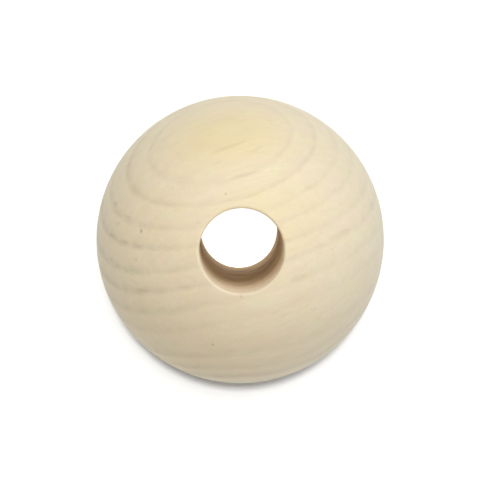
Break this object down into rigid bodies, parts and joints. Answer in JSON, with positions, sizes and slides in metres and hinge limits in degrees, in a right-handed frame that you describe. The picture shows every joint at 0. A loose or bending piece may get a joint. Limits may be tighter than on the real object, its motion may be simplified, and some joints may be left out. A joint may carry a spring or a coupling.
{
  "type": "wooden bead",
  "caption": "Large round turned wooden bead with a straight bore through its middle, threaded on a cord, a rope or a rod.",
  "frame": {"origin": "middle of the lower mouth's rim, at the height of the surface that the bead stands on", "axes": "+Z along the bore, from the end that the bead stands on to its upper end; +X to the right in the picture, and the picture was taken from above, a little towards +Y"},
  "size_m": [0.05, 0.05, 0.0477],
  "materials": {
    "wood": "matte"
  },
  "bodies": {
    "root": {"bead": "wood"}
  },
  "joints": []
}
